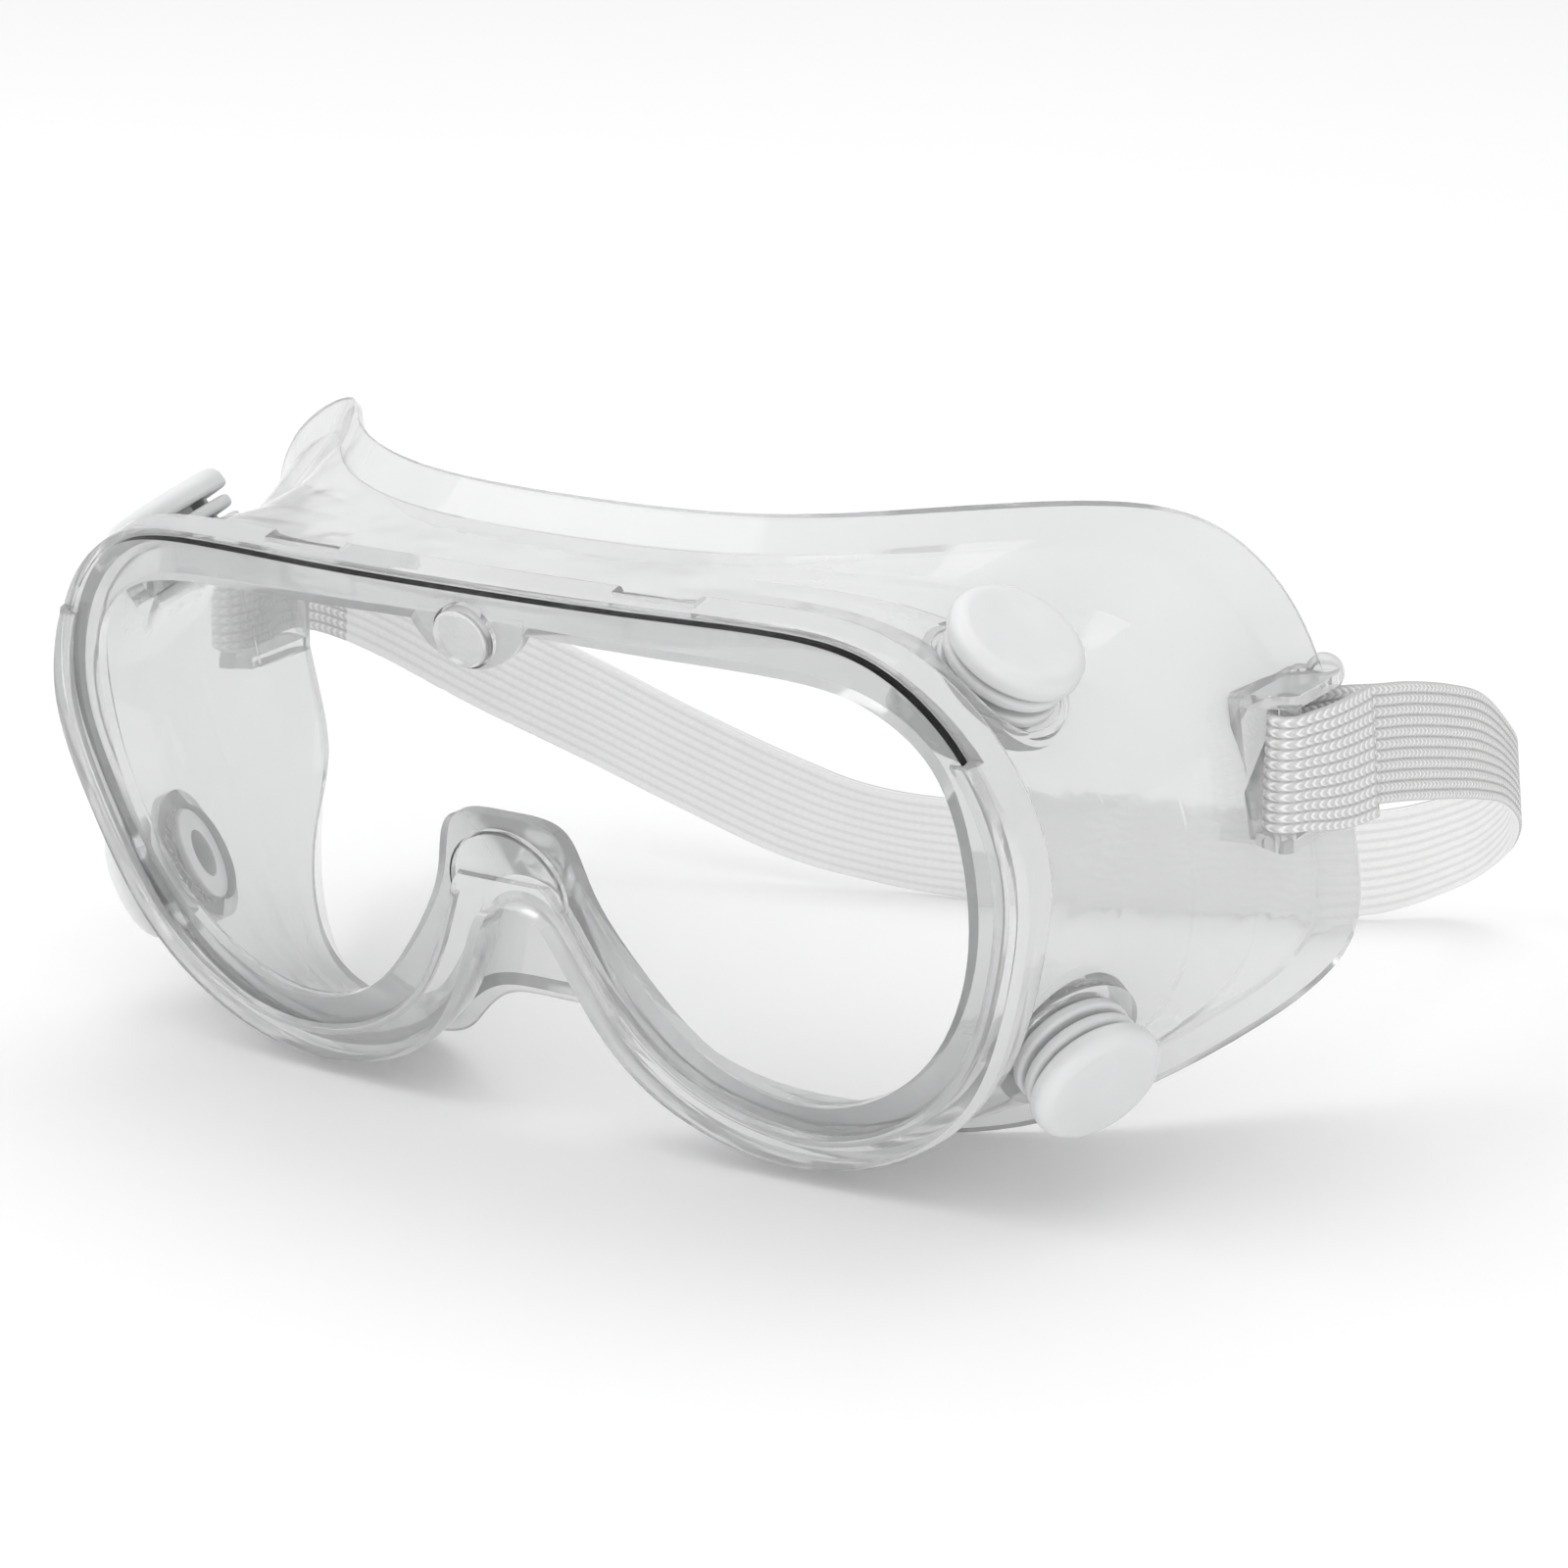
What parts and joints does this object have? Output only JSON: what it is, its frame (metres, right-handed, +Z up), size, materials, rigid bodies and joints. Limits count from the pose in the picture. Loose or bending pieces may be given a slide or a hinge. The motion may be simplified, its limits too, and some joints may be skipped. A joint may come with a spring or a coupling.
{
  "type": "safety goggles",
  "caption": "Chemical-splash safety goggles: clear moulded frame and lens, round indirect vents with pull-off caps, elastic headband.",
  "frame": {"origin": "under the middle of the object's bounding box, on the surface that it rests on", "axes": "+X to the right as the goggles are seen from the front, -Y out through the lens, +Z up"},
  "size_m": [0.1892, 0.1652, 0.0877],
  "materials": {
    "frame": "clear, slightly cloudy flexible PVC",
    "lens": "clear polished polycarbonate",
    "vent": "white translucent polyethylene",
    "strap": "white ribbed knitted elastic"
  },
  "bodies": {
    "goggles": {"frame": "frame", "lens": "lens", "strap_end_right": "strap", "strap_end_left": "strap", "vent_seat_upper_right": "vent", "vent_baffle_upper_right": "vent", "vent_seat_upper_left": "vent", "vent_baffle_upper_left": "vent", "vent_seat_lower_right": "vent", "vent_baffle_lower_right": "vent", "vent_seat_lower_left": "vent", "vent_baffle_lower_left": "vent"},
    "headband": {"headband": "strap"},
    "cap_upper_right": {"vent_cap_upper_right": "vent"},
    "cap_upper_left": {"vent_cap_upper_left": "vent"},
    "cap_lower_right": {"vent_cap_lower_right": "vent"},
    "cap_lower_left": {"vent_cap_lower_left": "vent"}
  },
  "joints": [
    {"name": "headband_swing", "type": "hinge", "parent": "goggles", "child": "headband", "pos_m": [0, -0.00562, 0.05317], "axis": [1, 0, 0], "range_deg": [0, 45]},
    {"name": "vent_cap_upper_right_pull", "type": "slide", "parent": "goggles", "child": "cap_upper_right", "axis": [0.54, -0.14, 0.83], "range_m": [0, 0.008]},
    {"name": "vent_cap_upper_left_pull", "type": "slide", "parent": "goggles", "child": "cap_upper_left", "axis": [-0.54, -0.14, 0.83], "range_m": [0, 0.008]},
    {"name": "vent_cap_lower_right_pull", "type": "slide", "parent": "goggles", "child": "cap_lower_right", "axis": [0.8028, -0.4114, -0.4315], "range_m": [0, 0.008]},
    {"name": "vent_cap_lower_left_pull", "type": "slide", "parent": "goggles", "child": "cap_lower_left", "axis": [-0.8028, -0.4114, -0.4315], "range_m": [0, 0.008]}
  ]
}
